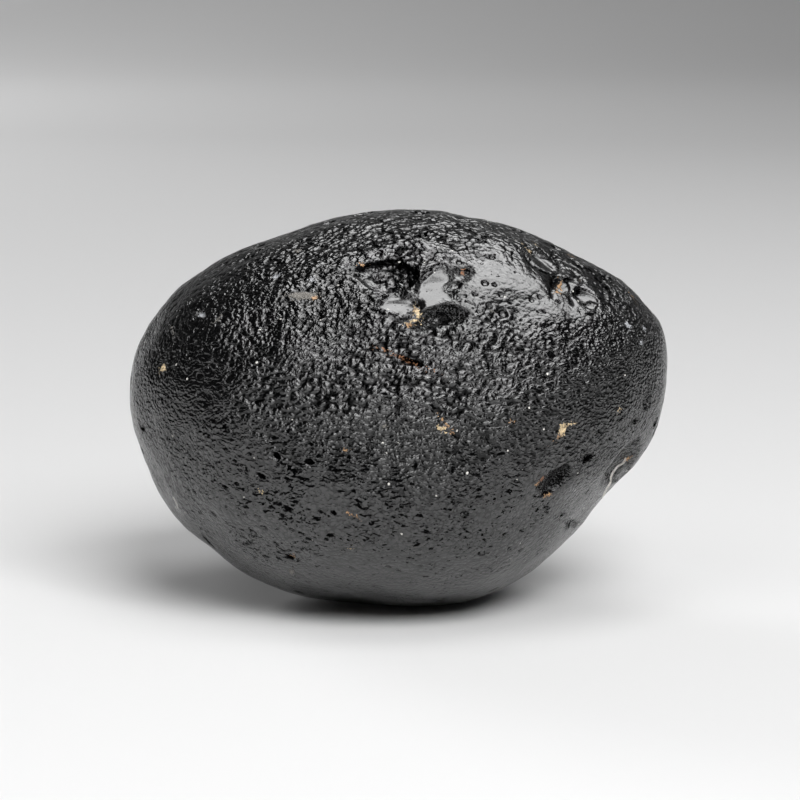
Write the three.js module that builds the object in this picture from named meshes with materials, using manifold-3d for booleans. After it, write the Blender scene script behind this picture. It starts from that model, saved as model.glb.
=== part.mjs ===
// Indochinite tektite: one egg-shaped lump of natural black glass with an etched, pitted skin.
// Millimetres, +Z up. The long axis lies along X, the front faces -Y, and the lump rests at Z = 0
// on a small worn spot under its middle, which is also the middle of its box.
import * as THREE from "three";
import { mergeVertices } from "three/addons/utils/BufferGeometryUtils.js";
import Module from "manifold-3d";

const wasm = await Module();
wasm.setup();

// Driving dimensions, in millimetres unless a comment says otherwise.
const LENGTH = 60; // along X
const HEIGHT = 44.35; // of the girth outline, before the resting spot is worn off
const FRONT_DEPTH = 23.5; // from the girth plane to the front of the belly
const BACK_DEPTH = 22; // from the girth plane to the furthest point behind
const LEAN = 9; // degrees that the girth plane leans back from upright
const RESTING_WEAR = 0.45; // worn off the underside, which leaves the resting spot
const BODY_DETAIL = 14; // icosahedron detail of the body
const PIT_DETAIL = 1; // detail of the round tools that cut the pits
const CHIP_DETAIL = 3; // detail of the round tools that cut the chips
const SIGHT_DISTANCE = 350; // marks are laid out as seen from this far in front or behind

// The girth outline as seen from the front, anticlockwise from the right-hand end,
// in hundredths of the half length and of the half height.
const GIRTH_OUTLINE = [
  [100, 19], [100, 32], [97.3, 44], [92, 52], [85, 62], [74, 72], [60, 81], [51, 87],
  [41.5, 92], [33.5, 94.5], [26, 96], [20.5, 98.2], [14, 99.8], [2, 100], [-11, 99],
  [-20, 97], [-43, 87], [-62.5, 77], [-74.5, 67], [-84, 57], [-90, 47], [-94.5, 37],
  [-99, 22], [-100, 5], [-98.5, -9], [-95, -23.5], [-87, -47], [-79.5, -59.5],
  [-69, -71], [-57, -83], [-44, -91], [-31, -95.5], [-11, -98.5], [10, -100],
  [24, -97.5], [37, -92], [48, -83.5], [60.5, -70], [67.5, -60.5], [73.5, -49.5],
  [80.5, -39], [87.2, -30.5], [92.2, -20.5], [95.6, -12], [99.2, 6.5],
];

// How far the body's cross sections drift as they near the front and the back, in millimetres.
const FRONT_DRIFT = { across: 0.5, up: -4.5 };
const BACK_DRIFT = { across: -2.5, up: -1.5 };
const FULLNESS = 0.94; // under 1 fills the sections out towards a box

// Broad rises (+) and hollows (-): a direction from the middle, how wide, and how high.
const SWELLS = [
  { towards: [0.42, -0.55, 0.62], reach: 9, rise: 0.55 }, // shoulder bulge, front right
  { towards: [0.72, -0.38, 0.5], reach: 6, rise: -0.5 }, // hollow between shoulder and end
  { towards: [-0.12, -0.62, 0.7], reach: 8, rise: -0.45 }, // shallow saddle over the brow
  { towards: [-0.7, -0.5, 0.45], reach: 10, rise: 0.35 },
  { towards: [0.8, -0.45, -0.45], reach: 9, rise: -0.5 },
  { towards: [0.1, 0.9, 0.35], reach: 12, rise: -0.8 },
  { towards: [-0.6, 0.75, -0.1], reach: 9, rise: 0.6 },
  { towards: [0.65, 0.7, -0.2], reach: 8, rise: -0.6 },
  { towards: [0.2, 0.55, 0.8], reach: 7, rise: 0.4 },
  { towards: [-0.35, 0.6, -0.7], reach: 8, rise: -0.5 },
];

// Gentle lumps all over, from waves that cross the body in different directions.
const WAVES = [
  { along: [1, 0.35, 0.2], length: 8.2, rise: 0.07 },
  { along: [-0.3, 1, 0.4], length: 7.1, rise: 0.07 },
  { along: [0.2, -0.45, 1], length: 7.8, rise: 0.07 },
  { along: [0.8, 0.7, -0.6], length: 5.9, rise: 0.05 },
  { along: [-0.7, 0.6, 0.9], length: 6.4, rise: 0.05 },
  { along: [0.6, -0.9, 0.5], length: 5.3, rise: 0.04 },
];
const GIRTH_CALM = { share: 0.35, depth: 6 }; // what is left of the lumps at the girth, and how near to it

// Pits and gouges seen from the front and from behind. Across and up are measured in the girth plane
// from its middle, reach is half the mouth's length and width, and turn is anticlockwise in degrees.
const FRONT_PITS = [
  { name: "brow hollow", across: -1.3, up: 14.3, reach: [3.5, 2.1], depth: 0.9, turn: -8 },
  { name: "brow chip", across: 4.2, up: 13.4, reach: [2.1, 2.4], depth: 0.45, turn: 20 },
  { name: "lower brow chip", across: -0.4, up: 11.6, reach: [2.4, 1.4], depth: 0.4, turn: -10 },
  { name: "brow notch", across: 7.3, up: 15.2, reach: [1.3, 1.0], depth: 0.6, turn: 25 },
  { name: "brow socket", across: 5.4, up: 10.2, reach: [2.6, 1.3], depth: 0.6, turn: 8 },
  { name: "round cup", across: 10.3, up: 17.0, reach: [0.55, 0.55], depth: 0.45, turn: 0 },
  { name: "shoulder channel", across: 16.2, up: 16.6, reach: [2.6, 0.8], depth: 0.5, turn: -42 },
  { name: "soil pit", across: 18.0, up: 14.0, reach: [1.3, 1.5], depth: 0.7, turn: 10 },
  { name: "shoulder cup", across: 20.3, up: 13.0, reach: [1.5, 1.3], depth: 0.55, turn: -15 },
  { name: "crisp cup", across: 21.4, up: 11.8, reach: [0.95, 0.8], depth: 0.6, turn: 0 },
  { name: "slot", across: 1.3, up: 5.3, reach: [1.7, 0.4], depth: 0.5, turn: -22 },
  { name: "flank pit", across: 18.6, up: -7.8, reach: [1.7, 0.9], depth: 0.8, turn: 28 },
  { name: "flank notch", across: 21.0, up: -5.5, reach: [0.8, 0.5], depth: 0.5, turn: 25 },
  { name: "flank cluster", across: 19.1, up: -13.1, reach: [0.9, 0.9], depth: 0.5, turn: 45 },
  { name: "left facet", across: -10.7, up: 12.4, reach: [1.7, 0.55], depth: 0.3, turn: -4 },
];
const BACK_PITS = [
  { name: "thumb hollow", across: -9, up: 5, reach: [5.2, 3.6], depth: 1.1, turn: 20 },
  { name: "back cup", across: 8, up: 11, reach: [2.6, 2.2], depth: 1.0, turn: -20 },
  { name: "back gouge", across: 14, up: -3, reach: [4.2, 1.1], depth: 0.8, turn: 55 },
  { name: "back cup", across: 2, up: -8, reach: [1.9, 1.6], depth: 0.9, turn: 0 },
  { name: "back cup", across: -18, up: -6, reach: [1.6, 1.3], depth: 0.7, turn: 30 },
];

// Short level slots in the belly, as [across, up, half length].
const BELLY_SLOTS = [
  [-14.9, -7.4, 0.8], [-12.5, -7.8, 0.7], [-10.4, -7.8, 0.6], [-19.5, -8.7, 0.6], [-18.2, -8.4, 0.6],
  [-11.7, -9.4, 0.6], [-6.3, -9.1, 0.6], [-12.8, -11.0, 0.65], [-11.5, -11.4, 0.6], [-10.1, -11.1, 0.6],
  [-8.4, -11.7, 0.75], [-10.7, -12.2, 0.6], [-20.6, -11.8, 0.6], [-17.4, -11.8, 0.6],
  [-16.4, -13.7, 0.75], [-14.8, -13.0, 0.7], [-11.7, -13.6, 0.6], [-7.7, -14.0, 0.7],
  [-10.1, -14.7, 0.6], [-12.0, -16.6, 0.65], [-7.0, -17.0, 0.7], [-5.2, -17.7, 0.6],
];
const SLOT = { widthShare: 0.6, depth: 0.4, turn: -5 };

// Small pits scattered over the rest, along a spiral from the top to the bottom.
const SCATTERED_PITS = 60;
const SCATTER_FRONT = -0.45; // none lies further to the front than this, as a share
const SCATTERED_REACH = [0.7, 1.6];
const SCATTERED_STEEPNESS = 0.5; // depth as a share of the mouth's half width
const SPIRAL_TURN = Math.PI * (3 - Math.sqrt(5));

// A struck chip leaves a crisp shell-shaped scar: a ball's centre and radius, from the middle.
const CHIPS = [
  { name: "edge chip", across: 27.4, up: -8.6, back: -9.2, radius: 5.4 },
  { name: "foot chip", across: -23.3, up: -17.2, back: -1.2, radius: 3.6 },
];

// A repeatable stand-in for chance, from 0 to 1.
function chance(seed) {
  const wave = Math.sin(seed * 127.1 + 311.7) * 43758.5453;
  return wave - Math.floor(wave);
}

function solidOf(geometry) {
  const bare = geometry.clone();
  bare.deleteAttribute("normal");
  bare.deleteAttribute("uv");
  const merged = mergeVertices(bare, 1e-4);
  const triVerts = new Uint32Array(merged.index.array);
  const vertProperties = merged.attributes.position.array;
  return new wasm.Manifold(new wasm.Mesh({ numProp: 3, vertProperties, triVerts }));
}

function geometryOf(solid) {
  const { vertProperties, triVerts } = solid.getMesh();
  const geometry = new THREE.BufferGeometry();
  geometry.setAttribute("position", new THREE.BufferAttribute(new Float32Array(vertProperties), 3));
  geometry.setIndex(new THREE.BufferAttribute(new Uint32Array(triVerts), 1));
  geometry.computeVertexNormals();
  return geometry;
}

// The girth's radius at any angle, read off a smooth curve through the outline's points.
function makeGirth() {
  const points = GIRTH_OUTLINE.map(
    ([x, z]) => new THREE.Vector3((x / 200) * LENGTH, 0, (z / 200) * HEIGHT),
  );
  const curve = new THREE.CatmullRomCurve3(points, true, "centripetal");
  const samples = curve
    .getPoints(points.length * 12)
    .slice(0, -1)
    .map((p) => ({ angle: Math.atan2(p.z, p.x), radius: Math.hypot(p.x, p.z) }))
    .sort((a, b) => a.angle - b.angle);
  return function girthRadius(angle) {
    let after = samples.findIndex((s) => s.angle > angle);
    if (after < 0) after = 0;
    const b = samples[after];
    const a = samples[(after + samples.length - 1) % samples.length];
    const fullTurn = 2 * Math.PI;
    const span = (b.angle - a.angle + fullTurn) % fullTurn;
    const share = ((angle - a.angle + fullTurn) % fullTurn) / span;
    return THREE.MathUtils.lerp(a.radius, b.radius, share);
  };
}

function lumpHeight(place) {
  const height = WAVES.reduce((sum, { along, length, rise }) => {
    const distance = place.dot(new THREE.Vector3(...along).normalize());
    return sum + rise * Math.sin((2 * Math.PI * distance) / length);
  }, 0);
  const fromGirth = Math.min(1, Math.abs(place.y) / GIRTH_CALM.depth);
  return height * THREE.MathUtils.lerp(GIRTH_CALM.share, 1, fromGirth);
}

// The body before etching: the girth outline, domed to the front and the back.
function bodyGeometry() {
  const girthRadius = makeGirth();
  const geometry = new THREE.IcosahedronGeometry(1, BODY_DETAIL);
  const position = geometry.attributes.position;
  const swells = SWELLS.map((s) => ({ ...s, way: new THREE.Vector3(...s.towards).normalize() }));
  const p = new THREE.Vector3();
  for (let i = 0; i < position.count; i++) {
    p.fromBufferAttribute(position, i);
    const inFront = p.y < 0;
    const drift = inFront ? FRONT_DRIFT : BACK_DRIFT;
    const spread = Math.hypot(p.x, p.z);
    const angle = Math.atan2(p.z, p.x);
    const radius = girthRadius(angle) * spread ** FULLNESS;
    p.set(
      radius * Math.cos(angle) + drift.across * (1 - spread),
      p.y * (inFront ? FRONT_DEPTH : BACK_DEPTH),
      radius * Math.sin(angle) + drift.up * (1 - spread),
    );
    const outward = p.clone().normalize();
    for (const { way, reach, rise } of swells) {
      const away = outward.angleTo(way) * p.length();
      p.addScaledVector(outward, rise * Math.exp(-((away / reach) ** 2)));
    }
    p.addScaledVector(outward, lumpHeight(p));
    position.setXYZ(i, p.x, p.y, p.z);
  }
  return geometry;
}

// Where the line of sight through a point of the girth plane first meets the body.
function seenFrom(side, body, across, up) {
  const eye = new THREE.Vector3(0, side * SIGHT_DISTANCE, 0);
  const aim = new THREE.Vector3(across, 0, up).sub(eye).normalize();
  return meet(body, eye, aim);
}

function meet(body, from, way) {
  const hit = new THREE.Raycaster(from, way).intersectObject(body)[0];
  return { point: hit.point, normal: hit.face.normal.clone() };
}

// An egg-shaped tool sunk into the skin, its long side lying across and turned about the skin's normal.
function pitTool({ point, normal }, { reach, depth, turn }, sight, Shape = THREE.IcosahedronGeometry) {
  const tool = new Shape(1, PIT_DETAIL);
  const rise = 0.25 * depth;
  tool.scale(reach[0], reach[1], depth + rise);
  tool.rotateZ(THREE.MathUtils.degToRad(turn));
  const upward = new THREE.Vector3(0, 0, 1);
  const across = new THREE.Vector3().crossVectors(upward, normal);
  if (across.length() < 0.1) across.set(sight, 0, 0);
  across.normalize();
  const along = new THREE.Vector3().crossVectors(normal, across);
  const place = new THREE.Matrix4().makeBasis(across, along, normal);
  place.setPosition(point.clone().addScaledVector(normal, rise));
  return solidOf(tool.applyMatrix4(place));
}

function slotTools(body) {
  return BELLY_SLOTS.map(([across, up, length]) => {
    const slot = { reach: [length, length * SLOT.widthShare], depth: SLOT.depth, turn: SLOT.turn };
    return pitTool(seenFrom(-1, body, across, up), slot, -1, THREE.OctahedronGeometry);
  });
}

function scatteredTools(body) {
  const ways = Array.from({ length: SCATTERED_PITS }, (_, i) => {
    const height = 1 - (2 * i + 1) / SCATTERED_PITS;
    const turn = i * SPIRAL_TURN + chance(i) * 0.9;
    const ring = Math.sqrt(1 - height * height);
    return new THREE.Vector3(ring * Math.cos(turn), ring * Math.sin(turn), height);
  });
  return ways
    .filter((way) => way.y > SCATTER_FRONT)
    .map((way, i) => {
      const found = meet(body, way.clone().multiplyScalar(LENGTH), way.clone().negate());
      const width = THREE.MathUtils.lerp(...SCATTERED_REACH, chance(i + 100) ** 2);
      const reach = [width * (1 + 0.5 * chance(i + 200)), width];
      const pit = { reach, depth: width * SCATTERED_STEEPNESS, turn: 360 * chance(i + 300) };
      return pitTool(found, pit, -1, THREE.OctahedronGeometry);
    });
}

function chipTool({ across, up, back, radius }) {
  return solidOf(new THREE.IcosahedronGeometry(radius, CHIP_DETAIL).translate(across, back, up));
}

function makeLump() {
  const geometry = bodyGeometry();
  const body = new THREE.Mesh(geometry, new THREE.MeshBasicMaterial());
  const tools = [
    ...FRONT_PITS.map((pit) => pitTool(seenFrom(-1, body, pit.across, pit.up), pit, -1)),
    ...BACK_PITS.map((pit) => pitTool(seenFrom(1, body, pit.across, pit.up), pit, 1)),
    ...slotTools(body),
    ...scatteredTools(body),
    ...CHIPS.map(chipTool),
  ];
  return tools.reduce((lump, tool) => lump.subtract(tool), solidOf(geometry));
}

// Leans the lump back, wears its resting spot flat, and sets that spot at Z = 0 under the box's middle.
function setDown(solid) {
  const leaning = geometryOf(solid).rotateX(-THREE.MathUtils.degToRad(LEAN));
  leaning.computeBoundingBox();
  const floor = leaning.boundingBox.min.z + RESTING_WEAR;
  const ground = new THREE.BoxGeometry(2 * LENGTH, 2 * LENGTH, LENGTH);
  ground.translate(0, 0, floor - LENGTH / 2);
  const worn = geometryOf(solidOf(leaning).subtract(solidOf(ground)));
  worn.computeBoundingBox();
  const { min, max } = worn.boundingBox;
  return worn.translate(-(min.x + max.x) / 2, -(min.y + max.y) / 2, -min.z);
}

const blackGlass = new THREE.MeshStandardMaterial({ color: 0x0c0c0d, roughness: 0.3, metalness: 0 });
const tektite = new THREE.Mesh(setDown(makeLump()), blackGlass);
tektite.name = "tektite";

const object = new THREE.Group();
object.add(tektite);
export default object;
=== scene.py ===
import math

import bpy
import numpy as np
from mathutils import Matrix, Vector
from mathutils.bvhtree import BVHTree


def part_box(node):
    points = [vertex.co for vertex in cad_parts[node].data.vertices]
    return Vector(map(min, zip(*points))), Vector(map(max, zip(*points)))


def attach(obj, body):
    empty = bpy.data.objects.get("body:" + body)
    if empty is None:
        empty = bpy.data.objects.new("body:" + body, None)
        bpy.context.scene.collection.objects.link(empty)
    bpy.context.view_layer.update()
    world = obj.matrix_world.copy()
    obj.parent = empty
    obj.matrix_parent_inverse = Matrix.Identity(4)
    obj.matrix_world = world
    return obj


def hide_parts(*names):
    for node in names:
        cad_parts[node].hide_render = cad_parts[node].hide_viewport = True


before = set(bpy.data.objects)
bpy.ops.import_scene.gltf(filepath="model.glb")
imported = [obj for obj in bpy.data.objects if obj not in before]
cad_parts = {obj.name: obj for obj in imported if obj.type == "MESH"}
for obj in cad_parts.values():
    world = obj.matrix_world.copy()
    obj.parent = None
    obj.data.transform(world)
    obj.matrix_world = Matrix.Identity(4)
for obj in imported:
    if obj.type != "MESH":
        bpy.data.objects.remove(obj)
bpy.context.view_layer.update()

# Indochinite tektite on a pale floor: one lump of black natural glass. Its broad form comes from the
# frame, and the skin over it is cut and wrinkled here. The camera, the studio, the panels and the
# wrinkles' size and height are in metres, and what is laid out on the skin is in millimetres.
millimetre = 0.001

viewSetup = {
    "lookAt": (0.00005, 0.0, 0.02201),  # the middle of the outline
    "elevation": 9,  # degrees above level
    "distance": 0.35,
    "lens": 141.4,
    "clipStart": 0.01,
    "across": 0.00011,  # the whole camera slides this far right
    "up": 0.00092,  # and this far up, so the lump sits a little low
}

tilt = math.radians(viewSetup["elevation"])
viewRight = Vector((1, 0, 0))
viewUp = Vector((0, math.sin(tilt), math.cos(tilt)))
viewBack = Vector((0, -math.cos(tilt), math.sin(tilt)))
outlineMiddle = Vector(viewSetup["lookAt"])
eye = outlineMiddle + viewBack * viewSetup["distance"]


def placeCamera():
    slide = viewRight * viewSetup["across"] + viewUp * viewSetup["up"]
    bpy.ops.object.camera_add(location=eye + slide, rotation=(math.pi / 2 - tilt, 0, 0))
    camera = bpy.context.active_object
    camera.name = "frontCamera"
    camera.data.lens = viewSetup["lens"]
    camera.data.clip_start = viewSetup["clipStart"]
    bpy.context.scene.camera = camera


placeCamera()
print("camera placed")


def deselectAll():
    bpy.ops.object.select_all(action="DESELECT")


def makeActive(piece):
    deselectAll()
    piece.select_set(True)
    bpy.context.view_layer.objects.active = piece


def setMode(mode):
    bpy.ops.object.mode_set(mode=mode)


def finishModifier(piece, kind, **settings):
    modifier = piece.modifiers.new(kind.lower(), kind)
    for key, value in settings.items():
        setattr(modifier, key, value)
    makeActive(piece)
    bpy.ops.object.modifier_apply(modifier=modifier.name)


def readVertices(piece, what):
    values = np.empty(len(piece.data.vertices) * 3)
    piece.data.vertices.foreach_get(what, values)
    return values.reshape(-1, 3)


def readPlaces(piece):
    return readVertices(piece, "co")


def writePlaces(piece, places):
    piece.data.vertices.foreach_set("co", places.ravel())
    piece.data.update()


bodyShape = {
    "netLevels": 7,  # how often the starting cube is subdivided: 6 * 4^7 faces
    "startSwell": 1.25,  # the starting cube's size, as a share of the box
    "smoothRounds": 30,
    "smoothFactor": 0.5,
    "weldDistance": 0.00001,
}


def copySolid():
    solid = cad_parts["tektite"].copy()
    solid.data = solid.data.copy()
    solid.parent = None
    solid.name = "broadForm"
    bpy.context.scene.collection.objects.link(solid)
    makeActive(solid)
    setMode("EDIT")
    bpy.ops.mesh.select_all(action="SELECT")
    bpy.ops.mesh.remove_doubles(threshold=bodyShape["weldDistance"])
    setMode("OBJECT")
    return solid


def makeBody():
    low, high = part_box("tektite")
    deselectAll()
    bpy.ops.mesh.primitive_cube_add(size=1, location=(low + high) / 2)
    body = bpy.context.active_object
    body.name = "tektiteSkin"
    body.scale = (high - low) * bodyShape["startSwell"]
    bpy.ops.object.transform_apply()
    levels = bodyShape["netLevels"]
    finishModifier(body, "SUBSURF", levels=levels, render_levels=levels)
    solid = copySolid()
    finishModifier(
        body, "SHRINKWRAP", target=solid, wrap_method="PROJECT",
        use_negative_direction=True, use_positive_direction=True,
    )
    bpy.data.objects.remove(solid)
    finishModifier(
        body, "SMOOTH", factor=bodyShape["smoothFactor"], iterations=bodyShape["smoothRounds"],
    )
    return body


tektite = makeBody()
print("body drawn over the solid:", len(tektite.data.polygons), "faces")


# Places are in millimetres across and up from the middle of the outline, as seen from the front, or
# from behind for the back. Reach is half the length and half the width, turn is anticlockwise in
# degrees, edge is how steep the wall is, and a dark one is painted black inside, as painted shade.
hollows = {
    "browHollow": {"at": (-1.2, 14.7), "reach": (3.5, 2.0), "depth": 0.6, "turn": -8, "edge": 5},
    "browHollowEnd": {"at": (1.0, 14.9), "reach": (1.3, 1.5), "depth": 0.5, "turn": 30, "edge": 4},
    "browSocket": {"at": (5.0, 10.4), "reach": (2.7, 1.3), "depth": 0.45, "turn": 3, "edge": 3},
    "ringCup": {"at": (6.1, 13.8), "reach": (0.95, 0.65), "depth": 0.3, "turn": 8, "edge": 5},
    "shoulderChannel": {"at": (15.8, 16.5), "reach": (2.5, 0.8), "depth": 0.3, "turn": -42, "edge": 4},
    "soilPit": {"at": (18.0, 13.6), "reach": (1.2, 1.5), "depth": 0.5, "turn": 10, "edge": 2},
    "shoulderBowl": {"at": (20.9, 12.2), "reach": (1.6, 1.2), "depth": 0.25, "turn": -15, "edge": 4},
    "shoulderRing": {"at": (20.3, 14.4), "reach": (0.4, 0.75), "depth": 0.2, "turn": 0, "edge": 4},
    "middleSlot": {
        "at": (1.4, 5.3), "reach": (1.7, 0.3), "depth": 0.4, "turn": -22,
        "edge": 3, "dark": True,
    },
    "flankPit": {"at": (17.4, -7.8), "reach": (2.1, 1.2), "depth": 0.6, "turn": 30, "edge": 3},
    "flankNotch": {
        "at": (21.0, -5.6), "reach": (0.75, 0.3), "depth": 0.35, "turn": 28,
        "edge": 3, "dark": True,
    },
    "flankDot": {
        "at": (26.4, -1.35), "reach": (0.5, 0.22), "depth": 0.3, "turn": 10,
        "edge": 3, "dark": True,
    },
    "flankFacet": {"at": (26.4, -3.7), "reach": (0.55, 1.1), "depth": 0.2, "turn": -8, "edge": 6},
    "flankChip": {"at": (24.6, -7.3), "reach": (2.7, 1.3), "depth": 0.45, "turn": -33, "edge": 3},
    "leftGlint": {"at": (-22.0, 10.6), "reach": (0.75, 0.4), "depth": 0.2, "turn": -50, "edge": 5},
    "leftRing": {"at": (-13.7, 14.8), "reach": (0.45, 0.45), "depth": 0.25, "turn": 0, "edge": 3},
    "bellySoilPit": {
        "at": (-12.2, -16.5), "reach": (0.6, 0.42), "depth": 0.3, "turn": -20,
        "edge": 3, "dark": True,
    },
    "footChip": {
        "at": (-21.2, -14.9), "reach": (1.1, 0.4), "depth": 0.3, "turn": -45,
        "edge": 2, "dark": True,
    },
}

# Round cups in the smooth glass of the shoulder and elsewhere: across, up, radius.
cups = [
    (10.4, 16.9, 0.45), (9.6, 14.0, 0.48), (10.7, 13.8, 0.35), (11.4, 12.6, 0.36),
    (9.3, 12.3, 0.28), (12.4, 11.8, 0.3), (10.1, 11.4, 0.4), (11.6, 10.6, 0.62), (14.8, 12.1, 0.36),
    (15.7, 12.4, 0.3), (13.0, 15.2, 0.24), (13.1, 10.9, 0.34), (8.9, 10.8, 0.3), (15.5, 10.8, 0.24),
    (16.2, 10.8, 0.3), (22.8, 11.6, 0.26), (17.9, 11.9, 0.3), (21.35, 11.5, 0.8), (8.5, 12.7, 0.35),
    (7.3, 12.6, 0.35), (7.6, 11.9, 0.3), (6.5, 12.6, 0.3), (8.3, 11.6, 0.3), (5.7, 16.7, 0.3),
    (6.7, 16.3, 0.4), (2.4, 16.6, 0.3), (3.5, 16.6, 0.3), (3.0, 15.6, 0.3), (-2.3, 17.2, 0.45),
    (-3.3, 18.3, 0.5), (9.5, 18.6, 0.4), (-5.4, 8.4, 0.45), (-14.8, 9.0, 0.5), (-9.7, 9.4, 0.35),
    (-4.7, 11.8, 0.45), (-15.2, 16.9, 0.3), (19.3, 8.6, 0.35), (23.4, 9.3, 0.4), (16.4, 8.9, 0.3),
    (12.6, 9.4, 0.35),
]
cupShape = {"depth": 0.45, "edge": 2.5}  # depth as a share of the radius

# Short slots in the belly, painted black inside as shade: across, up, half length, half width, turn.
slots = [
    (-15.4, -7.5, 0.62, 0.3, -12), (-13.6, -7.3, 0.5, 0.18, 5), (-12.5, -7.8, 0.5, 0.22, -4),
    (-10.4, -7.8, 0.42, 0.16, -6), (-19.4, -8.7, 0.5, 0.18, -4), (-18.2, -8.4, 0.5, 0.2, 8),
    (-11.6, -9.5, 0.6, 0.15, -14), (-6.4, -9.2, 0.4, 0.2, 6), (-5.0, -9.2, 0.35, 0.22, 0),
    (-13.0, -10.7, 0.7, 0.12, -30), (-12.4, -11.1, 0.5, 0.18, 0), (-10.1, -11.2, 0.3, 0.16, 0),
    (-8.6, -11.6, 0.5, 0.16, -20), (-7.3, -11.6, 0.4, 0.3, -30), (-10.7, -12.3, 0.42, 0.12, 0),
    (-20.6, -11.8, 0.35, 0.12, -20), (-17.4, -11.7, 0.3, 0.12, -20), (-19.3, -11.0, 0.22, 0.14, 0),
    (-16.3, -13.7, 0.5, 0.16, 0), (-15.0, -13.2, 0.5, 0.12, 4), (-15.8, -12.0, 0.35, 0.13, 20),
    (-11.7, -13.6, 0.5, 0.11, -14), (-10.9, -13.9, 0.35, 0.13, 0), (-7.6, -14.2, 0.5, 0.25, 0),
    (-10.0, -14.6, 0.5, 0.17, -10), (-13.7, -15.0, 0.28, 0.12, 0), (-7.0, -17.0, 0.3, 0.12, 6),
    (-5.2, -17.7, 0.28, 0.12, 0), (-4.6, -15.9, 0.35, 0.14, 0), (-10.0, -5.9, 0.6, 0.35, 0),
    (-13.6, -5.3, 0.5, 0.3, -20), (-18.3, -5.8, 0.4, 0.18, 0), (-9.8, -3.9, 0.45, 0.25, 30),
    (-11.2, -6.2, 0.4, 0.2, 0), (-14.0, -3.2, 0.35, 0.25, 0), (-19.3, -4.5, 0.5, 0.14, -20),
    (-9.3, -12.9, 0.4, 0.09, 0), (-6.4, -13.4, 0.35, 0.09, 10), (-2.8, -14.9, 0.3, 0.12, 0),
    (-1.7, -14.7, 0.25, 0.12, 0), (0.4, -17.1, 0.35, 0.08, -6), (0.1, -18.1, 0.25, 0.09, 0),
    (2.4, -17.5, 0.3, 0.09, 0), (-1.2, -17.6, 0.2, 0.09, 10), (-1.8, -16.9, 0.2, 0.1, 0),
    (1.2, -10.6, 0.4, 0.12, 0), (3.9, -11.5, 0.4, 0.12, -5), (7.4, -12.2, 0.35, 0.14, 12),
    (9.4, -14.7, 0.35, 0.16, 30), (11.8, -14.1, 0.4, 0.15, 20), (12.3, -15.6, 0.35, 0.15, 40),
    (13.8, -13.5, 0.35, 0.1, 0), (13.5, -15.8, 0.3, 0.12, 30), (16.5, -11.6, 0.25, 0.13, 0),
    (18.2, -11.8, 0.35, 0.2, 10), (19.2, -12.9, 0.6, 0.25, 20), (22.3, -2.6, 0.42, 0.17, -20),
    (21.5, -3.5, 0.3, 0.12, 20), (22.5, -3.6, 0.3, 0.12, 30), (23.4, -3.5, 0.25, 0.13, 30),
    (20.5, -4.8, 0.45, 0.14, 35), (21.0, -7.3, 0.3, 0.14, 0), (20.9, -9.3, 0.45, 0.09, 30),
    (15.7, -8.8, 0.35, 0.12, 20), (16.8, -9.2, 0.35, 0.12, -20), (14.9, -6.0, 0.4, 0.1, -20),
    (13.2, -8.1, 0.5, 0.12, -10), (13.6, -9.8, 0.3, 0.1, 0), (12.0, -7.4, 0.45, 0.13, 12),
    (8.4, -8.4, 0.4, 0.12, 4), (18.9, -4.4, 0.4, 0.16, -10), (-3.9, -11.2, 0.3, 0.12, 0),
    (-6.9, -7.2, 0.4, 0.15, 0), (-16.7, -5.0, 0.3, 0.14, 0), (-22.8, -9.2, 0.35, 0.1, -40),
    (-4.1, -7.9, 0.35, 0.14, 10), (5.6, -9.9, 0.35, 0.12, 0), (2.2, -8.7, 0.35, 0.13, 0),
]
slotShape = {"depth": 0.3, "edge": 3}
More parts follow.
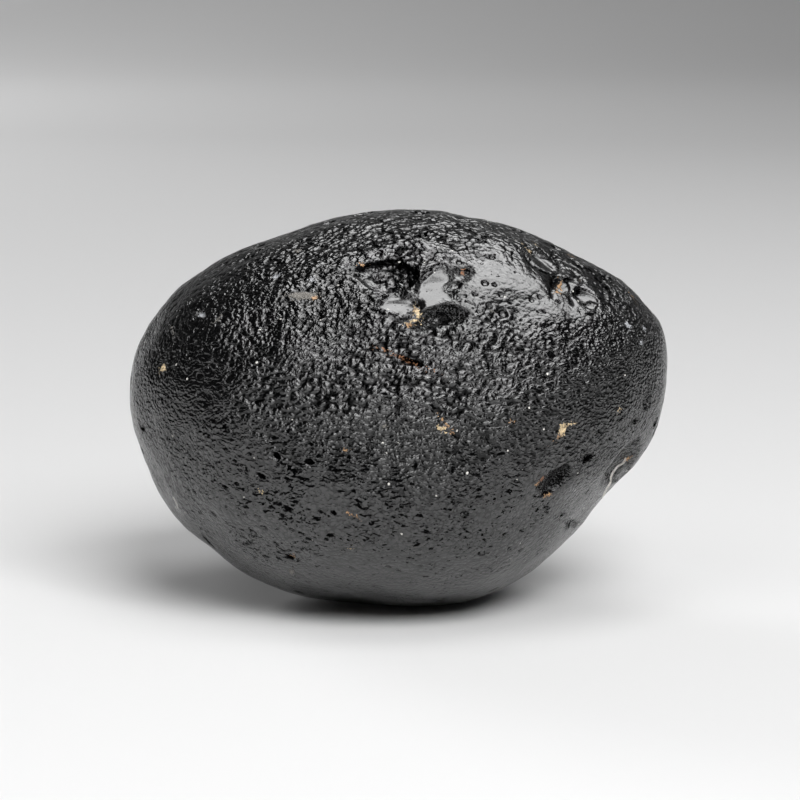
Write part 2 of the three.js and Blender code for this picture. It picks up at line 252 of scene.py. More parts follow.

# Seams round the broken places, cut in and painted black as shade: half the width, and the line along
# the bottom.
seams = {
    "browRim": (0.3, [
        (-4.7, 15.6), (-3.6, 16.0), (-2.2, 16.3), (-0.8, 16.5), (0.3, 16.2), (1.2, 15.8),
        (1.9, 15.2), (2.1, 14.4), (2.0, 13.5), (1.9, 13.1)]),
    "browRimInner": (0.2, [(-0.3, 15.9), (0.5, 15.5), (1.2, 15.3)]),
    "hollowFold": (0.2, [(-1.5, 14.2), (-1.1, 13.5), (-0.4, 13.8), (0.3, 13.2)]),
    "hollowFoldUpper": (0.17, [(-3.0, 14.8), (-2.5, 14.3), (-1.4, 14.5), (-0.9, 15.1)]),
    "hollowFoldRight": (0.1, [(0.3, 13.5), (0.8, 13.6), (1.2, 13.9)]),
    "leftBrowSeam": (0.11, [(-5.8, 15.9), (-5.2, 15.2), (-4.9, 14.6)]),
    "betweenFacets": (0.12, [(1.4, 12.4), (2.0, 12.1), (2.5, 11.4)]),
    "facetNick": (0.09, [(2.3, 14.6), (2.9, 14.2)]),
    "facetNickLower": (0.07, [(3.0, 13.5), (3.4, 13.2)]),
    "notchTail": (0.1, [(4.9, 16.3), (5.7, 15.8)]),
    "notchHook": (0.12, [(6.4, 16.6), (6.9, 16.6), (7.2, 16.1)]),
    "ringLeft": (0.08, [(6.0, 14.3), (5.4, 14.0), (5.25, 13.6), (5.5, 13.2), (6.1, 13.15)]),
    "underFacet": (0.12, [(-3.1, 11.0), (-2.3, 11.1), (-1.8, 10.6)]),
    "underFacetRight": (0.16, [(-1.3, 10.8), (-0.6, 10.5), (-0.1, 10.7)]),
    "channelLeft": (0.15, [
        (13.9, 17.4), (14.3, 16.6), (14.9, 15.9), (15.7, 15.5), (16.4, 15.15), (17.0, 14.9)]),
    "channelMiddle": (0.08, [(15.6, 17.3), (16.1, 16.9), (16.8, 16.7)]),
    "channelRight": (0.2, [(17.0, 17.4), (17.5, 16.5), (17.9, 15.9), (17.6, 15.2), (17.2, 14.6)]),
    "pitLeft": (0.18, [(17.1, 14.3), (16.95, 13.3), (17.1, 12.4)]),
    "pitTop": (0.26, [(18.5, 14.4), (19.4, 14.3)]),
    "pitRight": (0.14, [(19.6, 15.3), (19.5, 14.4)]),
    "pitFoot": (0.16, [(18.9, 12.7), (19.2, 12.1), (19.4, 11.6)]),
    "bowlRim": (0.11, [(19.5, 12.9), (20.2, 13.3), (21.0, 13.2), (21.7, 12.8)]),
    "bowlLeft": (0.13, [(20.1, 13.0), (20.0, 12.4)]),
    "ringOpen": (0.07, [(20.4, 15.1), (20.6, 14.6), (20.6, 14.0), (20.2, 13.7)]),
    "crispRim": (0.15, [(20.65, 11.6), (20.9, 12.0), (21.4, 12.05), (21.9, 11.9), (22.1, 11.5)]),
    "lowerRim": (0.09, [(21.1, 10.5), (21.7, 10.4), (22.1, 10.8)]),
    "topFold": (0.14, [(8.5, 18.6), (9.3, 19.0), (10.0, 19.3)]),
    "topGap": (0.2, [(1.9, 19.2), (2.6, 19.3), (3.2, 19.5)]),
    "shoulderSeam": (0.22, [(18.6, 17.0), (19.6, 16.2), (20.6, 15.6), (21.8, 15.3)]),
    "shoulderSeamLower": (0.2, [(22.0, 14.6), (23.2, 13.6), (23.8, 12.6)]),
}
# How deep the seams and the ragged ground are cut, and where the wall starts and ends.
seamCut = {"depth": 0.28, "wall": (-0.25, 0.12)}
rawCut = {"depth": 0.25, "wall": (-0.3, 0.1)}

# Ragged rough ground, with painted shade in its gaps: the outline of each patch.
rawPatches = {
    "browNotch": [
        (5.6, 15.9), (6.4, 15.7), (7.2, 15.8), (8.1, 15.9), (8.1, 15.0), (7.8, 14.3), (7.3, 14.1),
        (7.3, 14.9), (6.6, 14.8), (6.1, 15.2)],
    "rightOfNick": [
        (2.6, 11.0), (3.6, 11.0), (4.6, 11.6), (5.2, 11.9), (6.4, 11.6), (7.2, 11.0), (7.4, 9.8),
        (6.4, 9.9), (5.4, 10.3), (4.4, 10.2), (3.4, 10.3), (2.6, 10.2)],
    "belowNick": [(1.2, 9.3), (2.4, 9.9), (3.4, 9.8), (4.4, 9.2), (3.4, 8.7), (2.0, 8.6)],
    "nickShadow": [(1.0, 11.1), (1.6, 11.1), (1.6, 10.6), (1.1, 10.6)],
    "nickFoot": [(-0.3, 9.6), (0.2, 10.3), (1.4, 10.4), (1.0, 9.9), (0.3, 9.5)],
    "channelHead": [(13.6, 17.8), (14.6, 18.0), (14.3, 17.4), (14.1, 17.0), (13.8, 17.2)],
    "flankPitFloor": [
        (15.3, -8.6), (16.2, -7.6), (17.2, -6.8), (18.5, -6.3), (19.3, -6.5), (19.0, -7.4),
        (18.2, -8.1), (17.3, -8.9), (16.2, -9.2), (15.4, -9.1)],
    "flankCluster": [(18.4, -12.6), (19.3, -12.4), (20.2, -12.8), (19.6, -13.3), (18.8, -13.2)],
}

# Clean breaks: the outline, how far it leans back in degrees, and how deep it is sunk.
facets = {
    "browFacet": {"lean": 2, "sink": 0.15, "outline": [
        (2.4, 14.6), (2.9, 15.1), (3.9, 15.9), (4.9, 16.0), (5.6, 15.5), (5.9, 15.1), (5.8, 14.6),
        (5.2, 14.2), (5.1, 13.4), (5.9, 12.9), (6.0, 12.2), (5.5, 12.1), (4.6, 12.3), (4.3, 11.7),
        (3.5, 11.2), (2.7, 11.2), (2.5, 11.8), (2.1, 12.5), (2.4, 13.2)]},
    "lowerBrowFacet": {"lean": 8, "sink": 0.12, "outline": [
        (-1.9, 12.5), (-0.9, 12.9), (0.2, 13.0), (1.5, 12.6), (2.4, 12.1), (2.6, 11.4), (1.6, 11.1),
        (1.0, 10.3), (0.2, 10.2), (-0.4, 10.9), (-1.3, 11.1), (-2.2, 11.6)]},
    "channelFacet": {"lean": 4, "sink": 0.1, "outline": [
        (14.7, 17.1), (15.3, 17.6), (15.9, 17.6), (16.4, 17.0), (17.1, 16.2), (17.3, 15.4),
        (16.7, 15.3), (16.0, 15.8), (15.2, 16.3)]},
    "leftFacet": {"lean": 14, "sink": 0.1, "outline": [
        (-22.3, 11.2), (-21.9, 10.9), (-21.4, 10.1), (-21.8, 10.2), (-22.4, 10.7)]},
}
facetCut = {
    "hinge": 0.3,  # where a facet meets the skin, as a share of the way from its foot to its middle
    "deepest": 0.7,
    "highest": 0.1,
    "wall": (-0.05, 0.25),
}

# Hollows on the back, and small round cups all over the back, the ends and the top.
backHollows = {
    "thumbHollow": {"at": (-9, 5), "reach": (5.0, 3.4), "depth": 0.5, "turn": 20, "edge": 2.5},
    "upperCup": {"at": (8, 11), "reach": (2.6, 2.2), "depth": 0.6, "turn": -20, "edge": 3},
    "backGouge": {"at": (14, -3), "reach": (4.2, 1.0), "depth": 0.6, "turn": 55, "edge": 3},
    "lowerCup": {"at": (2, -8), "reach": (1.9, 1.6), "depth": 0.6, "turn": 0, "edge": 3},
    "leftCup": {"at": (-18, -6), "reach": (1.6, 1.3), "depth": 0.5, "turn": 30, "edge": 3},
}
scatteredCups = {
    "count": 150,
    "reach": (0.45, 1.5),
    "depthShare": 0.34,  # depth as a share of the half width
    "stretch": 0.5,  # the longest is this much longer than wide
    "edge": 3,
    "smallness": 3,  # how much commoner small ones are
    "turnSwing": 0.35,  # how far each is moved from an even spread, in radians
    "heightSwing": 0.04,
    "frontLimit": 0.3,  # none faces the front more squarely than this
    "seed": 7,
}

# What is left on the skin: soil in the pits, painted glints where small pits would catch the light,
# and pale crushed glass along chipped edges, partly a painted highlight.
residueAndGlintTints = {
    "cream": (0.62, 0.47, 0.27, 1),
    "tan": (0.36, 0.2, 0.085, 1),
    "rust": (0.2, 0.075, 0.02, 1),
    "dust": (0.13, 0.12, 0.105, 1),
    # A painted glint: pale colour standing in for the bright reflection off a small pit.
    "paintedGlint": (0.34, 0.35, 0.37, 1),
}
# Where each lies: across, up, half length, half width and turn.
residueAndGlintSpots = {
    "cream": [
        (2.0, 10.9, 0.85, 0.26, 102), (1.6, 9.8, 0.5, 0.2, 20), (-26.3, 4.5, 0.5, 0.4, 10),
        (4.7, -2.2, 0.4, 0.22, -20), (18.25, -2.3, 0.6, 0.45, 70), (19.3, -1.7, 0.3, 0.12, 10),
        (-15.4, -9.3, 0.16, 0.12, 0), (-5.2, -15.5, 0.14, 0.14, 0), (24.5, -0.15, 0.14, 0.11, 0),
        (14.5, 17.7, 0.25, 0.15, -20), (15.2, 18.3, 0.16, 0.1, 0), (13.7, 18.3, 0.2, 0.1, -30),
    ],
    "tan": [
        (1.8, 11.3, 0.3, 0.2, 90), (1.1, 9.4, 0.3, 0.22, 20), (-4.1, 16.1, 0.25, 0.17, 0),
        (18.0, 13.9, 0.45, 0.2, 80), (17.6, 13.0, 0.3, 0.2, 30), (20.3, 14.4, 0.12, 0.12, 0),
        (17.8, -3.1, 0.35, 0.2, 30), (15.4, -8.4, 0.25, 0.2, 0), (16.7, -9.6, 0.3, 0.2, 0),
        (25.5, -5.6, 0.3, 0.2, 0), (-11.9, -16.5, 0.3, 0.16, 80), (-5.1, -11.9, 0.3, 0.1, -30),
        (26.0, 12.4, 0.3, 0.12, -40), (19.3, 16.9, 0.3, 0.08, -20), (-9.4, 12.4, 0.3, 0.25, 0),
        (-5.9, -4.6, 0.25, 0.1, 0), (12.8, -1.4, 0.16, 0.12, 0), (5.2, -1.7, 0.3, 0.07, -50),
    ],
    "rust": [
        (7.1, 15.3, 0.18, 0.25, 0), (0.7, 5.5, 0.9, 0.08, -24), (16.0, -7.9, 0.35, 0.25, 30),
    ],
    "dust": [
        (-25.2, 8.6, 0.3, 0.1, -60), (-20.2, 9.9, 0.3, 0.12, 30), (-12.0, -18.2, 0.5, 0.25, 80),
        (-11.3, 17.6, 0.3, 0.25, 0), (-4.9, -14.4, 0.18, 0.12, 0), (-10.7, 12.6, 1.6, 0.42, -3),
        (-1.7, -2.0, 0.22, 0.16, 0), (10.3, 10.9, 0.2, 0.14, 0),
    ],
    # Painted glints: pale spots standing in for the bright reflection off small pits.
    "paintedGlint": [
        (-22.0, 10.6, 0.62, 0.3, -50), (-13.6, 14.85, 0.42, 0.36, 0), (-9.7, 14.4, 0.26, 0.32, 0),
        (25.5, 9.3, 0.34, 0.46, 20), (27.3, 8.9, 0.24, 0.3, 0), (27.0, 7.3, 0.3, 0.25, 0),
    ],
}
# Chipped edges, pale as crushed glass and as a painted highlight: half the width, and the line along
# each.
crushedEdgeHighlights = {
    "flankEdge": (0.12, [(25.3, -5.6), (24.5, -6.8), (23.7, -8.0), (23.0, -9.2), (22.7, -10.1)]),
    "footEdge": (0.07, [(-25.2, -9.9), (-24.75, -10.6), (-24.7, -11.3)]),
}


markLimits = {
    "behind": -3,  # marks of the front stop this far behind the middle
    "through": 2.5,  # and go this many half lengths into the body
    "around": 1.6,  # how far out their ragged wall can reach, in half widths
    "raggedness": 0.07,
    "away": 3.0,  # distances past this make no difference
}


# Seen from the front: how far across and up each vertex is, and how far it stands towards the front.
def frontPlaces(places):
    offset = places - np.array(outlineMiddle)
    toFront = offset @ np.array(viewBack) / millimetre
    scale = 1 / (1 - toFront * millimetre / viewSetup["distance"])  # nearer points look further out
    across = offset @ np.array(viewRight) / millimetre * scale
    up = offset @ np.array(viewUp) / millimetre * scale
    return np.stack([across, up], axis=1), toFront


def distanceToPath(flat, path):
    nearest = np.full(len(flat), np.inf)
    for start, end in zip(path[:-1], path[1:]):
        start = np.array(start)
        way = np.array(end) - start
        share = np.clip((flat - start) @ way / (way @ way), 0, 1)
        nearest = np.minimum(nearest, np.hypot(*(flat - start - share[:, None] * way).T))
    return nearest


# Distance to an outline, below zero inside.
def distanceToOutline(flat, outline):
    closed = outline + outline[:1]
    inside = np.zeros(len(flat), dtype=bool)
    for (x1, y1), (x2, y2) in zip(closed[:-1], closed[1:]):
        if y1 == y2:
            continue
        crossing = (flat[:, 1] < y1) != (flat[:, 1] < y2)
        inside ^= crossing & (flat[:, 0] < x1 + (flat[:, 1] - y1) * (x2 - x1) / (y2 - y1))
    return distanceToPath(flat, closed) * np.where(inside, -1, 1)


def outlinePoint(across, up):
    return outlineMiddle + (viewRight * across + viewUp * up) * millimetre


def seenPlace(tree, across, up, behind=False):
    start = outlineMiddle - viewBack * viewSetup["distance"] if behind else eye
    aim = (outlinePoint(across, up) - start).normalized()
    place, normal, _, _ = tree.ray_cast(start, aim)
    level = viewRight - normal * viewRight.dot(normal)
    return place, normal, level.normalized()


# How far each vertex lies from a mark, in half lengths along it and half widths across it.
def markSpace(places, mark):
    place, normal, level = mark["found"]
    reach = mark["reach"]
    rise = normal.cross(level)
    angle = math.radians(mark["turn"])
    along = level * math.cos(angle) + rise * math.sin(angle)
    over = normal.cross(along)
    offset = places - np.array(place)
    lengthwise = offset @ np.array(along) / (reach[0] * millimetre)
    widthwise = offset @ np.array(over) / (reach[1] * millimetre)
    deep = np.abs(offset @ np.array(normal)) / (max(reach) * millimetre)
    lengthwise[deep > markLimits["through"]] = np.inf  # the far side of the body
    return lengthwise, widthwise


# How far out each vertex is. The edge is near one, and wanders in its own way for each seed.
def raggedRadius(lengthwise, widthwise, seed):
    angle = np.arctan2(widthwise, lengthwise)
    wobble = np.cos(2 * angle + seed * 1.7) + np.cos(3 * angle + seed * 2.9)
    wobble += np.cos(5 * angle + seed * 4.3)
    return np.hypot(lengthwise, widthwise) * (1 + markLimits["raggedness"] * wobble)


def gatherMarks(tree):
    found = [{"found": seenPlace(tree, *hollow["at"]), **hollow} for hollow in hollows.values()]
    for across, up, radius in cups:
        cup = {"reach": (radius, radius), "turn": 0, **cupShape}
        cup["depth"] *= radius
        found.append({"found": seenPlace(tree, across, up), **cup})
    for across, up, length, width, turn in slots:
        slot = {"reach": (length, width), "turn": turn, "dark": True, **slotShape}
        found.append({"found": seenPlace(tree, across, up), **slot})
    for hollow in backHollows.values():
        found.append({"found": seenPlace(tree, *hollow["at"], behind=True), **hollow})
    return found + scatterMarks(tree)


def scatterMarks(tree):
    shape = scatteredCups
    rng = np.random.default_rng(shape["seed"])
    found = []
    golden = math.pi * (3 - math.sqrt(5))
    outside = 0.06  # clear of the body
    for number in range(shape["count"]):
        height = 1 - (2 * number + 1) / shape["count"]
        ring = math.sqrt(1 - height * height)
        turn = number * golden + rng.uniform(-shape["turnSwing"], shape["turnSwing"])
        height += rng.uniform(-shape["heightSwing"], shape["heightSwing"])
        way = Vector((ring * math.cos(turn), ring * math.sin(turn), height))
        share, stretch, spin = rng.random(3)
        if way.dot(viewBack) > shape["frontLimit"]:
            continue
        way.normalize()
        place, normal, _, _ = tree.ray_cast(outlineMiddle + way * outside, -way)
        level = normal.orthogonal().normalized()
        low, high = shape["reach"]
        width = low + (high - low) * share ** shape["smallness"]
        found.append({
            "found": (place, normal, level),
            "reach": (width * (1 + shape["stretch"] * stretch), width),
            "depth": width * shape["depthShare"],
            "turn": 360 * spin,
            "edge": shape["edge"],
        })
    return found


# The distance to the nearest mark in millimetres, below zero inside it, and that mark's number.
def nearestMark(places, found):
    distance = np.full(len(places), markLimits["away"])
    number = np.zeros(len(places), dtype=int)
    for index, mark in enumerate(found):
        lengthwise, widthwise = markSpace(places, mark)
        away = (np.hypot(lengthwise, widthwise) - 1) * min(mark["reach"])
        closer = away < distance
        distance[closer] = away[closer]
        number[closer] = index
    return distance, number


def markDepth(places, found):
    depth = np.zeros(len(places))
    for seed, mark in enumerate(found):
        lengthwise, widthwise = markSpace(places, mark)
        near = np.hypot(lengthwise, widthwise) < markLimits["around"]
        radius = raggedRadius(lengthwise[near], widthwise[near], seed)
        cut = mark["depth"] * np.clip(1 - radius ** mark["edge"], 0, None)
        depth[near] = np.maximum(depth[near], cut)
    return depth


def ramp(value, low, high):
    share = np.clip((value - low) / (high - low), 0, 1)
    return share * share * (3 - 2 * share)


def wallDepth(field, cut):
    return cut["depth"] * (1 - ramp(field, *cut["wall"]))


def pushIn(piece, depth):
    normals = readVertices(piece, "normal")
    writePlaces(piece, readPlaces(piece) - normals * depth[:, None] * millimetre)


# Moves the skin inside each facet onto a plane that leans back from the facet's lower part.
def cutFacets(piece, tree, flat, front):
    for facet in facets.values():
        outline = facet["outline"]
        away = distanceToOutline(flat, outline)
        near = front & (away < facetCut["wall"][1])
        middle = np.mean(outline, axis=0)
        foot = min(up for _, up in outline)
        hinge = foot + facetCut["hinge"] * (middle[1] - foot)
        place, normal, level = seenPlace(tree, middle[0], hinge)
        leaning = Matrix.Rotation(-math.radians(facet["lean"]), 3, level) @ normal
        places = readPlaces(piece)
        start = np.array(place - normal * facet["sink"] * millimetre)
        lift = (start - places[near]) @ np.array(leaning) / normal.dot(leaning)
        lift = np.clip(lift, -facetCut["deepest"] * millimetre, facetCut["highest"] * millimetre)
        lift *= 1 - ramp(away[near], *facetCut["wall"])
        places[near] += lift[:, None] * np.array(normal)
        writePlaces(piece, places)


def bodyTree(piece):
    vertices = [v.co.copy() for v in piece.data.vertices]
    faces = [tuple(f.vertices) for f in piece.data.polygons]
    return BVHTree.FromPolygons(vertices, faces)


smoothTree = bodyTree(tektite)
smoothPlaces = readPlaces(tektite)
flatPlaces, towardsFront = frontPlaces(smoothPlaces)
atFront = towardsFront > markLimits["behind"]
marks = gatherMarks(smoothTree)
print("marks found:", len(marks))


def frontField(distances):
    return np.where(atFront, np.min(distances, axis=0), markLimits["away"])


def lineField(lines):
    return frontField([distanceToPath(flatPlaces, path) - width for width, path in lines.values()])


seamField = lineField(seams)
edgeHighlightField = lineField(crushedEdgeHighlights)
rawField = frontField([distanceToOutline(flatPlaces, outline) for outline in rawPatches.values()])
mirrorField = frontField(
    [distanceToOutline(flatPlaces, facet["outline"]) for facet in facets.values()]
)


# How strongly the skin is marked from place to place: across, up, reach each way, and the strength
# there. The back varies slowly round a strength of its own.
skinZones = {
    # Wrinkles, strong on the brow and the middle, and faint on the belly, shoulder and right flank.
    "etch": {"back": 0.75, "seed": 3, "zones": [
        (0, 19, 16, 5, 0.9), (-21, 9, 6, 7, 0.5), (-25, 3, 4, 6, 0.3), (-12, 7, 5, 6, 0.75),
        (-3, 4, 12, 6, 1.0), (12, 4, 9, 6, 0.8), (11, 14.5, 6, 3.6, 0.1), (16, 12.5, 5, 3.6, 0.12),
        (20.9, 12.4, 1.9, 3.4, 0.12), (25.5, 11, 2.5, 4, 0.8), (21.5, 17.5, 5, 2, 0.9),
        (3.4, 17.6, 2.6, 1.3, 0.3), (22.9, 15.2, 1.7, 1.6, 0.9), (24.0, 13.0, 1.8, 2.6, 0.95),
        (23, 3, 6, 5, 0.4), (25, -7, 4, 6, 0.15), (-16, -12, 11, 6, 0.2), (0, -12, 9, 5, 0.3),
        (0, -20, 16, 4, 0.15), (14, -13, 7, 5, 0.2), (-26, -6, 4, 7, 0.3), (0, -4, 13, 3.5, 0.75),
        (-14, -3.5, 9, 3.5, 0.65), (17, -4, 6, 4, 0.5), (-6, 14.5, 3, 3, 0.5),
    ]},
    # Short slots that pierce the belly.
    "slotted": {"back": 0.5, "seed": 5, "zones": [
        (-9, -8, 9, 4, 1.0), (-13, -12, 9, 5, 0.95), (3, -9, 9, 4, 0.85), (0, -13, 9, 4, 0.75),
        (0, -19, 14, 4, 0.45), (14, -10, 7, 5, 0.7), (-22, -8, 5, 6, 0.65), (0, 4, 16, 7, 0.35),
        (10, 14, 10, 7, 0.15), (24, -8, 5, 5, 0.6), (-22, 9, 7, 7, 0.1), (-12, 16, 9, 4, 0.2),
    ]},
    # Small round pits that stand alone.
    "pitted": {"back": 0.8, "seed": 8, "zones": [
        (-19, 9, 8, 8, 1.1), (-10, 15, 8, 4, 1.0), (0, 17, 12, 5, 0.7), (13, 14, 7, 4, 0.35),
        (22, 12, 3, 4, 0.6), (24, 5, 5, 6, 0.9), (0, 2, 20, 7, 0.6), (0, -14, 24, 9, 0.4),
    ]},
    # Fine crumbs.
    "crumbly": {"back": 0.45, "seed": 11, "zones": [
        (-8, 8, 6, 4, 0.65), (24.2, 12.5, 2.2, 3, 0.6), (0, 17, 16, 5, 0.3), (-20, 9, 7, 7, 0.5),
        (-3, 4, 12, 6, 0.3), (12, 4, 9, 6, 0.4), (11, 14.5, 6, 3.6, 0.06), (16, 12.5, 5, 3.6, 0.08),
        (21.4, 12.6, 2.4, 3.6, 0.1), (25.5, 9, 3, 6, 0.8), (23, 2, 6, 5, 0.95), (23, -2, 6, 4, 0.8),
        (17, -3, 6, 4, 0.85), (-14, -9, 11, 6, 0.35), (0, -8, 11, 3.5, 0.7), (0, -13, 9, 3, 0.45),
        (0, -19, 16, 4, 0.2), (14, -11, 7, 5, 0.35), (-24, -4, 5, 6, 0.5), (0, -4, 13, 3.5, 0.75),
    ]},
}
reliefShape = {
    "zoneDepth": 12,  # how far the zones reach towards the back, in millimetres
    "backSwing": 0.35,
    "limits": (0.1, 1.15),
    "onFacets": 0.06,  # what is left of the wrinkles on a clean break
    "facetWall": (-0.1, 0.25),
    "swayLength": 14,  # the slow change over the back, in millimetres
    "swayRange": (0.7, 1.4),
    "swayWaves": 5,
    "swell": {"size": 0.0034, "height": 0.00007},
    "peel": {"size": 0.00115, "height": 0.00013},
    "scoops": {"size": 0.0024, "height": 0.00016},
}


def slowSway(places, seed):
    total = np.zeros(len(places))
    rng = np.random.default_rng(seed)
    for _ in range(reliefShape["swayWaves"]):
        way = rng.normal(size=3)
        way /= np.linalg.norm(way)
        length = reliefShape["swayLength"] * rng.uniform(*reliefShape["swayRange"]) * millimetre
        total += np.sin(places @ way * 2 * math.pi / length + rng.uniform(0, 2 * math.pi))
    return total / reliefShape["swayWaves"] ** 0.5


def zoneStrength(places, zones, back, seed):
    flat, toFront = frontPlaces(places)
    across, up = flat.T
    total = np.zeros(len(places))
    weight = np.full(len(places), 1e-6)
    for atAcross, atUp, reachAcross, reachUp, strength in zones:
        away = ((across - atAcross) / reachAcross) ** 2 + ((up - atUp) / reachUp) ** 2
        share = np.exp(-2 * away)
        total += share * strength
        weight += share
    front = total / weight
    behind = back + reliefShape["backSwing"] * slowSway(places, seed)
    blend = ramp(0.5 + toFront / reliefShape["zoneDepth"], 0, 1)
    return np.clip(front * blend + behind * (1 - blend), *reliefShape["limits"])


def storeField(piece, name, values, kind="FLOAT", part="value"):
    attribute = piece.data.attributes.new(name, kind, "POINT")
    attribute.data.foreach_set(part, values.ravel())


def gatherResidueAndGlints(tree):
    found = []
    for tint, spots in residueAndGlintSpots.items():
        for across, up, length, width, turn in spots:
            spot = {"reach": (length, width), "turn": turn, "tint": residueAndGlintTints[tint]}
            found.append({"found": seenPlace(tree, across, up), **spot})
    return found


def paintGroup(piece, name, weights):
    group = piece.vertex_groups.new(name=name)
    for index, weight in enumerate(weights):
        group.add([index], float(weight), "REPLACE")


def wrinkle(piece, name, kind, shape, group):
    texture = bpy.data.textures.new(name, kind)
    texture.noise_scale = shape["size"]
    finishModifier(piece, "DISPLACE", texture=texture, strength=shape["height"], vertex_group=group)


skin = {name: zoneStrength(smoothPlaces, **zone) for name, zone in skinZones.items()}
smoothest = reliefShape["onFacets"]
skin["etch"] *= smoothest + (1 - smoothest) * ramp(mirrorField, *reliefShape["facetWall"])

dentField, _ = nearestMark(smoothPlaces, marks)
# Marks painted black inside as shade, with the seams.
paintedShadeMarks = [mark for mark in marks if mark.get("dark")]
paintedShadeField, _ = nearestMark(smoothPlaces, paintedShadeMarks)
paintedShadeField = np.minimum(paintedShadeField, seamField)

residueAndGlints = gatherResidueAndGlints(smoothTree)
residueAndGlintField, spotNumber = nearestMark(smoothPlaces, residueAndGlints)
tint = np.array([spot["tint"] for spot in residueAndGlints])[spotNumber]

paintGroup(tektite, "wrinkled", np.clip(skin["etch"], 0, 1))
wrinkle(tektite, "swell", "CLOUDS", reliefShape["swell"], "")
depth = markDepth(smoothPlaces, marks)
depth = np.maximum(depth, wallDepth(seamField, seamCut))
depth = np.maximum(depth, wallDepth(rawField, rawCut))
cutFacets(tektite, smoothTree, flatPlaces, atFront)
pushIn(tektite, depth)
wrinkle(tektite, "scoops", "VORONOI", reliefShape["scoops"], "wrinkled")
wrinkle(tektite, "peel", "VORONOI", reliefShape["peel"], "wrinkled")

distances = {
    "toFacet": mirrorField,
    "toDent": dentField,
    "toPaintedShade": paintedShadeField,
    "toRaw": rawField,
    "toResidueAndGlint": residueAndGlintField,
    "toEdgeHighlight": edgeHighlightField,
}
for name, numbers in {**skin, **distances}.items():
    storeField(tektite, name, numbers)
storeField(tektite, "residueAndGlintTint", tint, "FLOAT_COLOR", "color")


def restOnFloor(piece):
    places = readPlaces(piece)
    places[:, 2] = np.maximum(places[:, 2], 0)
    writePlaces(piece, places)


restOnFloor(tektite)
makeActive(tektite)
bpy.ops.object.shade_smooth()
print("skin wrinkled")


glassLook = {
    "color": (0.0018, 0.0018, 0.0019, 1),
    "roughness": 0.15,  # where the skin is fully etched
    "smoothRoughness": 0.24,  # where it isn't etched at all
    "fullEtch": 0.8,  # the strength that counts as fully etched
    "specular": 0.95,
    "ior": 1.6,
    "warp": {"scale": 0.5, "shift": 0.9},  # how the pattern is pulled about, in millimetres
    # More and less etching, and more and fewer slits: the noise's scale per millimetre, the noise
    # levels that it changes between, and the strength at each.
    "patches": {"scale": 0.35, "levels": (0.35, 0.65, 0.55, 1.2)},
    "slitPatches": {"scale": 0.3, "levels": (0.38, 0.6, 0.2, 1.2)},
    # Pitch, height and depth are in millimetres, and a wall is where a mark ends and where it begins.
    "flatness": 1.25,  # how much wider than tall the pebbles are
    "pebbles": {"pitch": 0.72, "height": 0.37, "crease": 0.12, "dark": (0.46, 0.66)},
    "crumbs": {"pitch": 0.42, "height": 0.24, "crease": 0, "dark": (0.46, 0.64)},
    "swells": {"pitch": 1.6, "height": 0.34, "crease": 0.5},
    "grain": {"scale": 5.0, "height": 0.012},
    "pinholes": {
        "pitch": 0.8, "depth": 0.12, "size": (0.02, 0.4), "smallness": 1.4, "wall": (0.6, 1.1),
    },
    # Length is in millimetres, and few and many are the noise levels that slits start at.
    "slits": {"length": 0.75, "flatness": 2.1, "few": 0.71, "many": 0.575},
    "specks": {"length": 0.36, "flatness": 1.7, "few": 0.75, "many": 0.615},
    "slitWall": 0.025,
    "slotDepth": 0.07,
    "rim": {"depth": 0.2, "wall": (-0.32, 0.04)},  # how far a pit drops just inside its edge
    "dust": {
        "pitch": 1.1, "share": 0.3, "size": (-0.05, 0.13), "wall": (-0.03, 0.01),
        "color": (0.62, 0.6, 0.56, 1),
    },
    # The valleys between the pebbles are painted black as shade: how strongly.
    "valleyShade": 0.85,  # how little light comes back out from between the pebbles
    # Edges of what is laid out on the skin: how ragged, the noise's scale, and how soft.
    "edges": {
        "toFacet": (0.7, 1.8, 0.06),
        "toPaintedShade": (0.35, 2.8, 0.06),
        "toRaw": (1.0, 3.2, 0.15),
        "toResidueAndGlint": (0.45, 4.0, 0.05),
        "toEdgeHighlight": (0.08, 1.5, 0.05),
    },
    # Grains round the soil, and the breaks in the painted highlight along chipped edges, by the same
    # noise.
    "looseGrains": {"scale": 3.6, "reach": 0.7, "many": 0.56, "few": 0.8, "wall": 0.03},
    "chippedHighlight": (0.34, 0.42),
    # On soil and raw ground: mottle darkens and lightens the soil, and gaps are painted black as
    # shade.
    "grit": {
        "scale": 6.0, "height": 0.2, "roughness": 0.5,
        "mottle": (0.3, 0.6, 0.45, 1.25), "gaps": (0.42, 0.55),
    },
}


def addNode(tree, kind, inputs=None, **settings):
    made = tree.nodes.new("ShaderNode" + kind)
    for key, value in settings.items():
        setattr(made, key, value)
    for key, value in (inputs or {}).items():
        if isinstance(value, bpy.types.NodeSocket):
            tree.links.new(value, made.inputs[key])
        else:
            made.inputs[key].default_value = value
    return made


def calc(tree, operation, first, second=0.0, third=0.0):
    return addNode(tree, "Math", {0: first, 1: second, 2: third}, operation=operation).outputs[0]


def step(tree, value, low, high, toLow=0.0, toHigh=1.0):
    made = addNode(
        tree, "MapRange",
        {"Value": value, "From Min": low, "From Max": high, "To Min": toLow, "To Max": toHigh},
        interpolation_type="SMOOTHSTEP",
    )
    return made.outputs["Result"]


def newGroup(name, inputs, outputs):
    group = bpy.data.node_groups.new(name, "ShaderNodeTree")
    for way, labels in (("INPUT", inputs), ("OUTPUT", outputs)):
        for label in labels:
            kind = "NodeSocketVector" if label == "Place" else "NodeSocketFloat"
            group.interface.new_socket(label, in_out=way, socket_type=kind)
    entry = group.nodes.new("NodeGroupInput")
    leave = group.nodes.new("NodeGroupOutput")
    return group, entry.outputs, leave


def scaled(tree, vector, factor):
    return addNode(tree, "VectorMath", {0: vector, "Scale": factor}, operation="SCALE").outputs[0]


